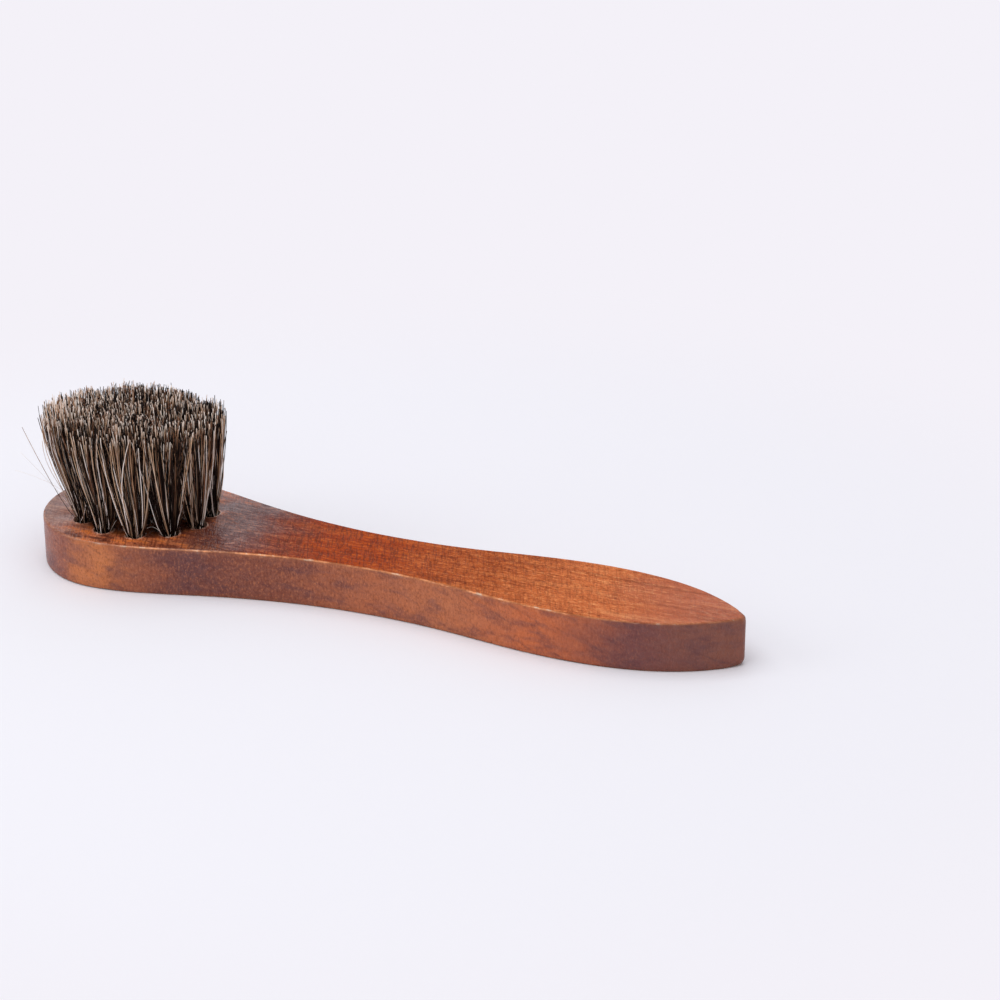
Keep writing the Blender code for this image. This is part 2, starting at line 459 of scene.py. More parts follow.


# Tones of the wood from the head's end to the tip, its stain with some painted light and shade: top,
# back, sides, and the top's pale grain
# Top: stain, with a painted sheen at the head's end and painted shade darkening it over the neck
TOP_STAIN_AND_LIGHT = stained(
    (0.00, 138, 93, 79),
    (0.16, 216, 114, 68),
    (0.27, 88, 48, 47),
    (0.44, 158, 56, 4),
    (0.62, 172, 80, 34),
    (0.78, 203, 107, 59),
    (0.92, 184, 99, 67),
    (1.00, 178, 96, 67),
)
BACK_TONES = stained(
    (0.00, 176, 107, 66),
    (0.15, 192, 121, 76),
    (0.40, 174, 101, 62),
    (0.60, 165, 95, 60),
    (0.80, 171, 99, 62),
    (1.00, 159, 91, 62),
)
# Sides: stain, with a painted sheen at the head's end, a painted lit patch where the wall turns to face
# front and left, and painted shade near the tip where it faces away
SIDE_STAIN_AND_LIGHT = stained(
    (0.00, 132, 75, 66),
    (0.08, 154, 91, 73),
    (0.13, 203, 122, 74),
    (0.18, 159, 92, 67),
    (0.23, 125, 73, 63),
    (0.36, 138, 78, 61),
    (0.50, 179, 103, 70),
    (0.62, 187, 110, 74),
    (0.76, 200, 107, 65),
    (0.88, 124, 73, 69),
    (0.97, 136, 83, 69),
)
GRAIN_TONES = stained(
    (0.00, 246, 184, 142),
    (0.28, 206, 128, 86),
    (0.46, 216, 104, 20),
    (0.64, 242, 150, 88),
    (0.86, 250, 174, 116),
)

# Lacquer left on the flat faces: glossy round the tufts, rubbed dull where the hand holds the brush
LACQUER = ((0.0, grey(1.0)), (0.27, grey(1.0)), (0.37, grey(0.1)), (0.80, grey(0.0)), (1.0, grey(0.3)))


class WoodSheet(Sheet):
    """The nodes of the board's wood, with the faces, bands and grain that its layers share."""

    def __init__(self, settings):
        super().__init__(bpy.data.materials.new("stained_wood"))
        self.stain = settings.line_colour[:]
        self.bare_wood_highlight = settings.wear_highlight_colour[:]
        self.along, _, up = self.add("ShaderNodeSeparateXYZ", {0: self.place()}).outputs

        # Which face a point is on
        thickness = BOARD_HIGH.z / MM
        top_face = self.span(up, thickness - 0.35, thickness - 0.08)
        self.back_face = self.span(up, 0.35, 0.08)
        self.faces = self.reckon("ADD", top_face, self.back_face, clamp=True)

        # Place along the board from 0 to 1, wandering so that the two sides differ
        wander = self.cloud(self.place((0.06, 0.12, 0.12)), detail=2)
        wandered = self.reckon("MULTIPLY_ADD", wander, 22.0, self.along)
        half = BOARD_HIGH.x / MM
        limits = {"Value": wandered, "From Min": -half + 11, "From Max": half + 11}
        self.band = self.add("ShaderNodeMapRange", limits).outputs[0]

        # Grain, which fades towards the tip and the head's end, and open pores
        self.streaks = self.cloud(self.place((0.42, 1.6, 1.6)), detail=5, roughness=0.72)
        self.flecks = self.cloud(self.place((1.3, 2.6, 2.6)), detail=3, roughness=0.7)
        to_tip = self.span(self.along, 72.0, 50.0, 0.35, 1.0)
        to_head_end = self.span(self.along, -78.0, -64.0, 0.5, 1.0)
        self.fading = self.times(to_tip, to_head_end)
        self.stipple = self.cloud(self.place((2.1, 2.1, 1.3)), detail=3, roughness=0.75)

    def side_colour(self):
        """Mottled sides: painted light and shade over the stain along the wall, then soft clouds,
        slanting streaks and a stipple of open pores.
        """
        clouds = self.cloud(self.place((0.11, 0.11, 0.3)), detail=3, roughness=0.6)
        slanted = self.place((0.10, 0.10, 0.75), slope=math.radians(-24), shift=(3, 1, 0))
        slants = self.cloud(slanted, detail=4, roughness=0.6)
        open_pores = self.span(self.band, 0.98, 0.60, 0.2, 1.0)
        colour = self.ramp(self.band, SIDE_STAIN_AND_LIGHT)
        colour = self.tint(colour, clouds, 0.46, 0.70, 0.55, linear(98, 62, 68))
        colour = self.tint(colour, slants, 0.52, 0.74, 0.42, linear(84, 50, 58))
        colour = self.tint(colour, self.stipple, 0.50, 0.72, 0.42, linear(226, 140, 92), open_pores)
        return self.tint(colour, self.stipple, 0.50, 0.32, 0.42, self.stain, open_pores)

    def grain_colour(self):
        """Flat faces: their figure, and the streaks and flecks of the grain along the board."""
        figure = self.cloud(self.place((0.03, 0.50, 0.50)), detail=3, roughness=0.6, distortion=0.4)
        pale = self.ramp(self.band, GRAIN_TONES)
        top = self.ramp(self.band, TOP_STAIN_AND_LIGHT)
        colour = self.mix(self.back_face, top, self.ramp(self.band, BACK_TONES))
        colour = self.tint(colour, figure, 0.50, 0.32, 0.30, self.stain)
        colour = self.tint(colour, figure, 0.50, 0.68, 0.24, pale)
        colour = self.tint(colour, self.streaks, 0.51, 0.68, 0.60, pale, self.fading)
        colour = self.tint(colour, self.streaks, 0.49, 0.33, 0.55, self.stain, self.fading)
        colour = self.tint(colour, self.flecks, 0.53, 0.68, 0.45, pale, self.fading)
        return self.tint(colour, self.flecks, 0.47, 0.32, 0.38, self.stain, self.fading)

    def stain_and_shade_head(self, colour):
        """A colour with blotches round the tufts, partly stain and partly painted reflection and shade
        among the hair, and painted shade between the tufts.
        """
        head = self.times(self.span(self.band, 0.29, 0.19), self.span(self.band, 0.05, 0.09))
        blotches = self.cloud(self.place((0.22, 0.42, 0.42), shift=(2, 7, 0)), detail=4, roughness=0.65)
        # Painted: the orange blotches stand partly for light reflected among the hair, and the dark ones
        # partly for its shade
        colour = self.tint(colour, blotches, 0.50, 0.66, 0.85, linear(236, 128, 60), head)
        colour = self.tint(colour, blotches, 0.50, 0.36, 0.85, linear(92, 42, 32), head)
        # Painted shade: darker inside the ring of tufts, where the hair shades the wood
        ring_scale = (MM / RING_HALF_LENGTH, MM / RING_HALF_WIDTH, 0)
        ring_shift = (-(BOARD_LOW.x + RING_MIDDLE_FROM_HEAD_END) / RING_HALF_LENGTH, 0, 0)
        from_ring = self.reach(self.place(ring_scale, shift=ring_shift))
        return self.tint(colour, from_ring, 1.16, 0.96, 0.75, linear(44, 20, 14))

    def saw_marks(self):
        """Saw marks and scores across the board, from 0 on plain wood to 1 in a mark."""
        across = self.place((1.15, 0.05, 0.05), turn=math.radians(-21))
        marks = self.span(self.cloud(across, detail=5, roughness=0.75), 0.53, 0.64, 0.0, 0.7)
        breaks = self.cloud(self.place((0.25, 0.4, 0.4), shift=(0, 0, 9)), detail=2)
        broken = self.times(marks, self.span(breaks, 0.38, 0.6))
        across = self.place((2.8, 0.30, 0.30), turn=math.radians(-23))
        scores = self.span(self.cloud(across, detail=3, roughness=0.6), 0.50, 0.61)
        return self.reckon("MULTIPLY_ADD", scores, 0.9, broken, clamp=True)

    def wear_and_highlight_edges(self, colour):
        """A colour with stained edges, rubbed pale in places by wear and by a painted highlight, and with
        cut wood round the holes.
        """
        colour = self.mix(self.times(self.attribute("edge"), 0.55), colour, self.stain)
        rub = self.cloud(self.place((0.26, 0.5, 0.5)), detail=4, roughness=0.7)
        wear_and_highlight = self.times(self.attribute("wear_and_highlight"), self.span(rub, 0.34, 0.60, 0.50, 1.8), clamp=True)
        # Painted glints: the palest spots stand partly for highlights on the chips
        bare_glint = self.mix(self.span(rub, 0.57, 0.68), self.bare_wood_highlight, linear(255, 228, 200))
        colour = self.mix(wear_and_highlight, colour, bare_glint)
        torn = self.times(self.attribute("cut"), self.span(self.flecks, 0.42, 0.58, 0.15, 1.0))
        return self.mix(torn, colour, linear(216, 178, 158))


def wood_material(settings):
    """Stained and thinly lacquered beech with saw marks, mottled sides and rubbed edges, with painted
    light and shade in its tones and edges.
    """
    sheet = WoodSheet(settings)

    # Saw marks are bold on the back and faint on the top
    mark = sheet.saw_marks()
    neck_share = sheet.times(sheet.span(sheet.along, 60.0, -20.0, 0.28, 0.62), sheet.fading)
    on_face = sheet.reckon("MULTIPLY_ADD", sheet.back_face, 0.35, neck_share)
    flat = sheet.mix(sheet.times(mark, on_face), sheet.stain_and_shade_head(sheet.grain_colour()), sheet.stain)
    colour = sheet.mix(sheet.faces, sheet.side_colour(), flat)

    # Lacquer, broken by the grain
    coated = sheet.mix(sheet.faces, grey(0.45), sheet.ramp(sheet.band, LACQUER))
    broken = sheet.span(sheet.streaks, 0.42, 0.58, 0.6, 1.3)
    rough = sheet.cloud(sheet.place((0.5, 3, 3)), detail=3)

    # Relief of the grain, the saw marks and the pores
    grain = sheet.reckon("MULTIPLY_ADD", sheet.streaks, 0.5, sheet.times(sheet.flecks, 0.5))
    height = sheet.reckon("MULTIPLY_ADD", mark, -0.8, grain)
    height = sheet.reckon("MULTIPLY_ADD", sheet.stipple, 0.5, height)
    normal = sheet.bump(height, 50 * MICROMETRE)
    return sheet.finish(
        {
            "Base Color": sheet.wear_and_highlight_edges(colour),
            "Coat Weight": sheet.times(coated, broken, clamp=True),
            "Coat Roughness": 0.13,
            "Coat IOR": 1.48,
            "Specular IOR Level": 0.05,
            "Roughness": sheet.span(rough, 0.3, 0.7, 0.46, 0.66),
            "Normal": normal,
            "Coat Normal": normal,
        }
    )


def hair_material(settings):
    """Horsehair: mixed black, brown, fair and silver hairs, with painted shade at the root, pale cut ends
    that are partly a painted highlight, and painted light towards the head's end.
    """
    sheet = Sheet(bpy.data.materials.new("horsehair"))
    tone = sheet.attribute("tone")
    height = sheet.attribute("height")

    # Tone: banded along each hair, darker near the cut, and fairer towards the head's end as painted
    # light
    along = sheet.add("ShaderNodeSeparateXYZ", {0: sheet.place()}).outputs[0]
    banding = sheet.cloud(sheet.place((1.2, 1.2, 0.25)), detail=2)
    shifted = tone
    for shift in (
        sheet.span(banding, 0.3, 0.7, -0.06, 0.06),
        sheet.span(height, 0.70, 0.98, 0.03, -0.08),
        sheet.span(along, HEAD_END_LIGHT_FROM / MM, BOARD_LOW.x / MM, 0.0, 0.24),
    ):
        shifted = sheet.reckon("ADD", shifted, shift)
    stops = (
        (0.00, settings.dark_hair[:]),
        (0.30, linear(44, 27, 23)),
        (0.50, settings.brown_hair[:]),
        (0.74, linear(221, 181, 146)),
        (1.00, settings.pale_hair[:]),
    )
    colour = sheet.ramp(shifted, stops, smooth=False)

    # Painted shade among the roots, apart from the fairest hairs, and pale cut ends that are partly a
    # painted highlight of the tips lit from above
    colour = sheet.tint(colour, height, 0.52, 0.0, 0.88, linear(18, 10, 8), sheet.span(tone, 0.98, 0.5))
    pale_kinds = sheet.span(tone, 0.50, 0.85)
    colour = sheet.tint(colour, height, 0.90, 1.0, 0.6, settings.pale_hair[:], pale_kinds)
    return sheet.finish(
        {
            "Base Color": colour,
            "Roughness": 0.32,
            "IOR": 1.55,
            "Specular IOR Level": 0.06,
            "Specular Tint": (1.0, 0.86, 0.78, 1.0),
        }
    )


def wire_material(settings):
    """Drawn flat steel wire with fine lines along it."""
    sheet = Sheet(bpy.data.materials.new("anchor_wire"))
    lines = sheet.cloud(sheet.place((0.8, 9, 9), turn=math.radians(-45)), detail=4, roughness=0.7)
    shade = sheet.mix(sheet.span(lines, 0.3, 0.7), linear(150, 143, 134), settings.wire_colour[:])
    return sheet.finish(
        {
            "Base Color": shade,
            "Metallic": 1.0,
            "Roughness": sheet.span(lines, 0.3, 0.7, 0.28, 0.42),
            "Normal": sheet.bump(lines, 4 * MICROMETRE),
        }
    )


def paper_material(settings):
    """Matt pale paper, whose far part is seen in one even tone; near the brush it keeps its shadow."""
    sheet = Sheet(bpy.data.materials.new("backdrop_paper"))
    even = sheet.add("ShaderNodeEmission", {"Color": settings.background_colour[:], "Strength": 1.0})
    coordinates = sheet.add("ShaderNodeTexCoord").outputs["Object"]
    far = sheet.span(sheet.reach(coordinates), EVEN_FROM, EVEN_FULL)
    share = sheet.times(far, sheet.seen())
    sheet.blend_surface("Material Output", share, sheet.nodes["Principled BSDF"], even)
    looks = {"Base Color": settings.floor_colour[:], "Roughness": 0.9, "Specular IOR Level": 0.1}
    return sheet.finish(looks)


def sky_world(settings):
    """Even light from all round, seen by the camera in the backdrop's tone."""
    sheet = Sheet(bpy.data.worlds.new("soft_sky"))
    even = sheet.add("ShaderNodeBackground", {"Color": settings.background_colour[:]})
    sheet.blend_surface("World Output", sheet.seen(), sheet.nodes["Background"], even)
    return sheet.finish({"Color": SKY_COLOUR, "Strength": settings.sky_strength}, "Background")


# Shapes


def finish_mesh(name, bm, material, sharp_angle):
    """A piece from a bmesh, with its place in its mesh, shaded smooth apart from its sharp edges."""
    mesh = bpy.data.meshes.new(name)
    bm.to_mesh(mesh)
    bm.free()
    mesh.shade_smooth()
    mesh.set_sharp_from_angle(angle=sharp_angle)
    mesh.materials.append(material)
    made = bpy.data.objects.new(name, mesh)
    bpy.context.scene.collection.objects.link(made)
    return made


def picked(geometry, kind):
    """The points, or the edges, among what a bmesh tool made."""
    return [item for item in geometry if isinstance(item, kind)]


def ease(value):
    """A value from 0 to 1, eased at both ends and held outside them."""
    value = max(0.0, min(1.0, value))
    return value * value * (3 - 2 * value)


def outline_knots(settings):
    """Knots of the board's edge from the head's end to the tip on the +Y side: handle, knot, handle."""
    length = BOARD_HIGH.x - BOARD_LOW.x
    head = BOARD_HIGH.y
    arc = head * QUARTER_ARC_HANDLE
    to_neck = HEAD_END_TO_NECK - head
    to_tip = length - HEAD_END_TO_NECK - NECK_TO_GRIP
    tip_middle = length - settings.tip_radius
    slope = Vector((math.cos(TIP_HALF_ANGLE), -math.sin(TIP_HALF_ANGLE)))
    normal = Vector((math.sin(TIP_HALF_ANGLE), math.cos(TIP_HALF_ANGLE)))
    tip_arc = settings.tip_radius * 4 / 3 * math.tan((math.pi / 2 - TIP_HALF_ANGLE) / 4)

    def level(x, y, before, after):
        knot = Vector((x, y))
        return knot - Vector((before, 0)), knot, knot + Vector((after, 0))

    head_end = (Vector((0, -arc)), Vector((0, 0)), Vector((0, arc)))
    widest = level(head, head, arc, to_neck * SHOULDER_FULLNESS)
    neck = level(
        HEAD_END_TO_NECK,
        settings.neck_width / 2,
        to_neck * NECK_FULLNESS_TO_HEAD,
        NECK_TO_GRIP * NECK_FULLNESS_TO_GRIP,
    )
    grip = level(
        HEAD_END_TO_NECK + NECK_TO_GRIP,
        settings.grip_width / 2,
        NECK_TO_GRIP * GRIP_FULLNESS_TO_NECK,
        to_tip * GRIP_FULLNESS_TO_TIP,
    )
    tip_start = Vector((tip_middle, 0)) + normal * settings.tip_radius
    tip_side = (tip_start - slope * to_tip * TIP_FULLNESS, tip_start, tip_start + slope * tip_arc)
    tip = (Vector((length, tip_arc)), Vector((length, 0)), Vector((length, -tip_arc)))
    return [head_end, widest, neck, grip, tip_side, tip]


def outline_mesh(settings):
    """The board's whole edge as a ring of points, from one closed Bezier curve."""
    upper = outline_knots(settings)
    mirrored = [
        tuple(Vector((point.x, -point.y)) for point in reversed(knot)) for knot in reversed(upper[1:-1])
    ]
    knots = upper + mirrored
    curve = bpy.data.curves.new("board_outline", "CURVE")
    curve.dimensions = "2D"
    curve.fill_mode = "NONE"
    curve.resolution_u = OUTLINE_STEPS
    spline = curve.splines.new("BEZIER")
    spline.bezier_points.add(len(knots) - 1)
    spline.use_cyclic_u = True
    for point, (before, knot, after) in zip(spline.bezier_points, knots):
        point.handle_left_type = "FREE"
        point.handle_right_type = "FREE"
        point.handle_left = before.to_3d()
        point.co = knot.to_3d()
        point.handle_right = after.to_3d()
    holder = bpy.data.objects.new("board_outline", curve)
    bpy.context.scene.collection.objects.link(holder)
    mesh = holder.to_mesh().copy()
    bpy.data.objects.remove(holder)
    return mesh


def top_face_with_holes(bm, roots, radius):
    """Fills the board's top inside its innermost ring, round one open circle at each tuft."""
    top = max(bm.faces, key=lambda face: face.calc_center_median().z + face.calc_area())
    rim = list(top.edges)
    bmesh.ops.delete(bm, geom=[top], context="FACES_ONLY")
    rings = []
    for root in roots:
        place = Matrix.Translation((root.x, root.y, BOARD_HIGH.z))
        points = bmesh.ops.create_circle(bm, segments=HOLE_SIDES, radius=radius, matrix=place)["verts"]
        rings.append((root, list(dict.fromkeys(edge for point in points for edge in point.link_edges))))
    edges = rim + [edge for _, ring in rings for edge in ring]
    bmesh.ops.triangle_fill(bm, edges=edges, use_beauty=True, normal=(0, 0, 1))
    return rings


def drill(bm, root, ring, settings, cut):
    """Draws one hole's rim up into a small ragged lip, and then its wall down to the drill's point."""
    radius = settings.hole_diameter / 2
    top = BOARD_HIGH.z

    # Reach from the hole's middle, height and paleness, from the lip down
    stations = (
        (radius + 0.32 * MM, top + 0.14 * MM, 0.5),
        (radius + 0.10 * MM, top + 0.26 * MM, 1.0),
        (radius, top - 0.15 * MM, 1.0),
        (radius, HOLE_FLOOR, 1.0),
        (0.02 * MM, HOLE_POINT, 1.0),
    )
    for reach, height, paleness in stations:
        grown = bmesh.ops.extrude_edge_only(bm, edges=ring)["geom"]
        points = picked(grown, BMVert)
        ring = picked(grown, BMEdge)
        for point in points:
            offset = Vector((point.co.x - root.x, point.co.y - root.y)).normalized()
            ragged = noise.noise(Vector((offset.x * 2.6, offset.y * 2.6, root.x * 900 + root.y * 500)))
            lip = max(0.0, height - top) * (0.75 + 1.1 * ragged)
            spot = Vector((root.x, root.y)) + offset * reach
            point.co = (spot.x, spot.y, min(height, top) + max(0.0, lip))
            point[cut] = paleness * ease(0.68 + 1.3 * ragged) if height > top else paleness
    points = list(dict.fromkeys(point for edge in ring for point in edge.verts))
    bmesh.ops.pointmerge(bm, verts=points, merge_co=(root.x, root.y, HOLE_POINT))


def climb(side):
    """How far an edge of the mesh climbs from one end to the other."""
    start, end = side.verts
    return abs(end.co.z - start.co.z)


def wear_tip(bm):
    """Rounds the tip's upright edge over at its top and its foot."""
    middle = BOARD_HIGH.z / 2
    for point in bm.verts:
        reach = TIP_WEAR_TOP if point.co.z > middle else TIP_WEAR_FOOT
        near = max(0.0, abs(point.co.z - middle) - middle + reach) / reach
        share = ease(1 - (BOARD_HIGH.x - point.co.x) / TIP_WEAR_LENGTH)
        point.co.x -= reach * (1 - math.sqrt(max(0.0, 1 - near**2))) * share


def rub_edges(bm, points, settings, wear_and_highlight, edge):
    """Rounds the long edges unevenly and nicks them, and marks how far each point is rubbed, which also
    carries a painted highlight on the upper near edges.
    """
    bm.normal_update()
    moves = []
    for point in points:
        tilt = 2 * abs(point.normal.z) * math.sqrt(max(0.0, 1 - point.normal.z**2))
        place = point.co / MM
        dulled = 0.5 + 0.5 * noise.noise(place * 0.09 + Vector((7, 0, 0)))
        nick = ease((noise.noise(place * Vector((0.55, 0.55, 0.2))) - 0.28) / 0.25)
        fine = ease((noise.noise(place * 1.7 + Vector((0, 5, 0))) - 0.2) / 0.4)
        depth = DULLED_DEPTH * dulled + settings.chip_depth * (0.75 * nick + 0.25 * fine)
        moves.append((point, point.normal * -depth * tilt))
        # Painted highlight: upper and near edges are paler than lower and far ones
        upper = 1.0 if point.co.z > BOARD_HIGH.z / 2 else LOWER_EDGE_PALENESS
        front = 1.0 if point.co.y < 0 else FAR_EDGE_PALENESS
        held = ease((place.x - HELD_FROM / MM) / 16) * ease((HELD_TO / MM - place.x) / 24)
        handled = UNHELD_EDGE_WEAR + (1 - UNHELD_EDGE_WEAR) * held
        rubbed = min(1.0, 0.15 + 0.55 * dulled + 0.6 * nick + 0.3 * fine)
        point[wear_and_highlight] = tilt * upper * front * handled * rubbed
        point[edge] = tilt
    for point, move in moves:
        point.co += move


def make_board(settings, roots):
    """The board: outline drawn up to its thickness, edges rounded and rubbed, holes drilled."""
    bm = bmesh.new()
    wear_and_highlight = bm.verts.layers.float.new("wear_and_highlight")
    edge = bm.verts.layers.float.new("edge")
    cut = bm.verts.layers.float.new("cut")
    bm.from_mesh(outline_mesh(settings))
    bmesh.ops.remove_doubles(bm, verts=bm.verts, dist=OUTLINE_SPACING)
    bmesh.ops.translate(bm, verts=bm.verts, vec=(BOARD_LOW.x, 0, 0))
    floor_face = bmesh.ops.contextual_create(bm, geom=bm.edges)["faces"][0]
    raised = bmesh.ops.extrude_face_region(bm, geom=[floor_face])["geom"]
    bmesh.ops.translate(bm, verts=picked(raised, BMVert), vec=(0, 0, BOARD_HIGH.z))
    bmesh.ops.recalc_face_normals(bm, faces=bm.faces)

    rims = [side for side in bm.edges if climb(side) == 0]
    bmesh.ops.bevel(
        bm,
        geom=rims,
        offset=settings.arris,
        offset_type="OFFSET",
        affect="EDGES",
        segments=ARRIS_STEPS,
        profile=0.5,
        material=-1,
    )
    flats = [face for face in bm.faces if len(face.verts) > 4]
    bmesh.ops.inset_region(bm, faces=flats, thickness=FACE_BORDER, use_even_offset=True)
    uprights = [side for side in bm.edges if climb(side) > BOARD_HIGH.z / 2]
    bmesh.ops.subdivide_edges(bm, edges=uprights, cuts=WALL_CUTS, use_grid_fill=True)
    wear_tip(bm)
    between = [point for point in bm.verts if MICROMETRE < point.co.z < BOARD_HIGH.z - MICROMETRE]
    rub_edges(bm, between, settings, wear_and_highlight, edge)
    rings = top_face_with_holes(bm, roots, settings.hole_diameter / 2 + LIP_WIDTH)
    for root, ring in rings:
        drill(bm, root, ring, settings, cut)
    bmesh.ops.recalc_face_normals(bm, faces=bm.faces)
    return finish_mesh("lacquered_board", bm, wood_material(settings), math.radians(50))


def strand_template():
    """A closed four-sided tube of radius 1, its rings 1 apart, to be bent to each hair's line."""
    bm = bmesh.new()
    bmesh.ops.create_circle(bm, segments=4, radius=1, cap_ends=True)
    ring = list(bm.edges)
    for _ in range(STRAND_RINGS - 1):
        grown = bmesh.ops.extrude_edge_only(bm, edges=ring)["geom"]
        points = picked(grown, BMVert)
        ring = picked(grown, BMEdge)
        bmesh.ops.translate(bm, verts=points, vec=(0, 0, 1))
    bmesh.ops.contextual_create(bm, geom=ring)
    bmesh.ops.recalc_face_normals(bm, faces=bm.faces)
    mesh = bpy.data.meshes.new("strand_template")
    bm.to_mesh(mesh)
    bm.free()
    return mesh


# Heights of a hair's rings: inside the hole, then as shares of what stands out
INSIDE_HEIGHTS = (5.2 * MM, 9.0 * MM, 11.4 * MM)
OUTSIDE_SHARES = (0.10, 0.24, 0.40, 0.56, 0.72, 0.87, 1.0)
STRAND_RINGS = len(INSIDE_HEIGHTS) + len(OUTSIDE_SHARES)

# Trimmed end of all the bristles together, as a slightly squared oval seen from above
TRIM_MIDDLE = Vector((BOARD_LOW.x + 21.9 * MM, 0.0))
TRIM_HALF_LENGTH = 21.2 * MM
TRIM_HALF_WIDTH = 17.6 * MM
TRIM_SQUARENESS = 2.4
TRIM_BELOW_TOP = 0.85 * MM
LUMP_HEIGHT = 2.0 * MM
LUMP_SPACING = 5 * MM
LUMP_PLACE = Vector((0, 0, 74.74))
TRIM_MARGIN = 0.05 * MM
RIM_FROM = 0.72
RIM_DROP = 2.4 * MM
CORNER_DROP = 0.9 * MM
LOW_CORNER = Vector((-0.6, 0.8))
SHORT_SHARE = 0.05

# Lean of the outer tufts' tips along and across the head, and of all tips to the head's end
LEAN_ALONG = 2.6 * MM
LEAN_ACROSS = 0.8 * MM
LEAN_TO_HEAD_END = 2.1 * MM

# Disorder of the hairs: turn between foot and tip, share that spreads wide, tip's jitter, sway
CROSSING = 0.65
WIDE_SHARE = 0.40
TIP_JITTER = 0.55 * MM
SWAY = 0.45 * MM
CURLY_SHARE = 0.05

# Seed of the little points' drift; each tuft's random draws start from this number plus its own
FIRST_SEED = 1000

# Kinds of hair, black, brown, fair and white: the share of hairs up to each, and its tones
HAIR_KINDS = (
    (0.52, (0.0, 0.22)),
    (0.69, (0.38, 0.58)),
    (0.87, (0.64, 0.82)),
    (math.inf, (0.92, 1.0)),
)
WHITE_FROM = 0.9
WHITE_THICKNESS = 1.14

# Share of hairs that take their neighbours' kind, the lowest such kind, and the range above it
LIKE_NEIGHBOURS = 0.22
NEIGHBOUR_KIND_LOW = 0.34
NEIGHBOUR_KIND_RANGE = 0.56

# Painted light: hairs turn fairer from here to the head's end
HEAD_END_LIGHT_FROM = BOARD_LOW.x + 11.0 * MM
HEAD_END_LIGHT_SIDE = Vector((-0.96, -0.28))
HEAD_END_LIGHT_SHARE = 0.40

# Trimmed hairs cling together in little points this far apart
POINT_PITCH = 1.0 * MM

# Loose hairs: tuft, foot from the hole's middle, tip from the head's end, bow, thickness share and tone
LOOSE_HAIRS = (
    (8, (-1.5, -0.4), (1.1, -13.9, 34.0), 0.80, 0.85, 0.35),
    (8, (-1.6, 0.2), (1.0, -17.9, 25.0), 2.40, 0.5, 0.85),
    (8, (-1.5, 0.0), (1.3, -15.6, 28.5), 1.20, 0.5, 0.90),
)
LOOSE_SWAY = Vector((0.15 * MM, -0.1 * MM))

# One fallen hair arches over the wood between two tufts: from the head's end, across, above the wood
ARCHED_HAIR_TUFT = 10
ARCHED_HAIR_START = (29.6, -11.2, 0.3)
ARCHED_HAIR_END = (33.7, -10.9, 1.0)
ARCHED_HAIR_RISE = 1.1 * MM


def arched_line():
    """The line of the fallen hair, from one tuft's foot over the wood to the next tuft's."""
    start = Vector(ARCHED_HAIR_START) * MM
    end = Vector(ARCHED_HAIR_END) * MM
    points = []
    for ring in range(STRAND_RINGS):
        share = ring / (STRAND_RINGS - 1)
        rise = ARCHED_HAIR_RISE * 4 * share * (1 - share)
        points.append(Vector((BOARD_LOW.x, 0, BOARD_HIGH.z + rise)) + start.lerp(end, share))
    return points


def tuft_root(wire_node):
    """The middle of a tuft's hole, seen from above, from the wire that crosses it."""
    low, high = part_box(wire_node)
    return ((low + high) / 2).to_2d()


def tuft_tip(root):
    """The middle of a tuft's trimmed end, leaning outwards from the ring's middle."""
    middle = BOARD_LOW.x + RING_MIDDLE_FROM_HEAD_END
    along = (root.x - middle) / RING_HALF_LENGTH
    across = root.y / RING_HALF_WIDTH
    return root + Vector((LEAN_ALONG * along - LEAN_TO_HEAD_END, LEAN_ACROSS * across))


def trim_reach(tip):
    """How far out a tip is in the trimmed end's oval: 0 in its middle, 1 at its edge."""
    offset = tip - TRIM_MIDDLE
    along = abs(offset.x / TRIM_HALF_LENGTH) ** TRIM_SQUARENESS
    across = abs(offset.y / TRIM_HALF_WIDTH) ** TRIM_SQUARENESS
    return (along + across) ** (1 / TRIM_SQUARENESS)


def held_in_trim(tip, chance):
    """A hair's tip, brought back inside the trimmed end's oval."""
    reach = trim_reach(tip)
    if reach <= 1:
        return tip
    return TRIM_MIDDLE + (tip - TRIM_MIDDLE) * chance.uniform(0.84, 1.02) / reach


def clung(tip, share):
    """A hair's tip, drawn towards the nearest of the points in which the trimmed hairs cling."""
    cell = Vector((round(tip.x / POINT_PITCH), round(tip.y / POINT_PITCH)))
    drift = noise.noise_vector(Vector((cell.x * 0.71, cell.y * 0.71, 4.0))).to_2d()
    return tip.lerp((cell + drift * 0.6) * POINT_PITCH, share)


def hair_line(foot, tip, height, lean, bow, sway):
    """A hair's middle line: upright in its hole, leaning with its tuft, and fanned out from it."""
    points = [Vector((foot.x, foot.y, level)) for level in INSIDE_HEIGHTS]
    base = INSIDE_HEIGHTS[-1]
    for share in OUTSIDE_SHARES:
        leaning = 0.8 * ease(1.15 * share) + 0.2 * share
        spot = foot + lean * leaning + (tip - foot - lean) * share**bow
        spot += sway * math.sin(math.pi * share)
        points.append(Vector((spot.x, spot.y, base + (height - base) * share)))
    return points


def trim_height(tip, chance, settings):
    """Height of a hair's cut end: lumpy, rounded over at the edge and lower at the far head corner."""
    lump = noise.noise(Vector((tip.x, tip.y, 0)) / LUMP_SPACING + LUMP_PLACE)
    corner = max(0.0, (tip - TRIM_MIDDLE).dot(LOW_CORNER) / TRIM_HALF_WIDTH)
    rim = ease((trim_reach(tip) - RIM_FROM) / (1 - RIM_FROM))
    height = BRUSH_TOP - TRIM_BELOW_TOP + LUMP_HEIGHT * lump + chance.gauss(0, settings.unevenness)
    height -= RIM_DROP * rim * chance.random() + CORNER_DROP * corner**2
    if chance.random() < SHORT_SHARE:
        height -= chance.uniform(1.0, 5.0) * MM
    return min(height, BRUSH_TOP - TRIM_MARGIN)


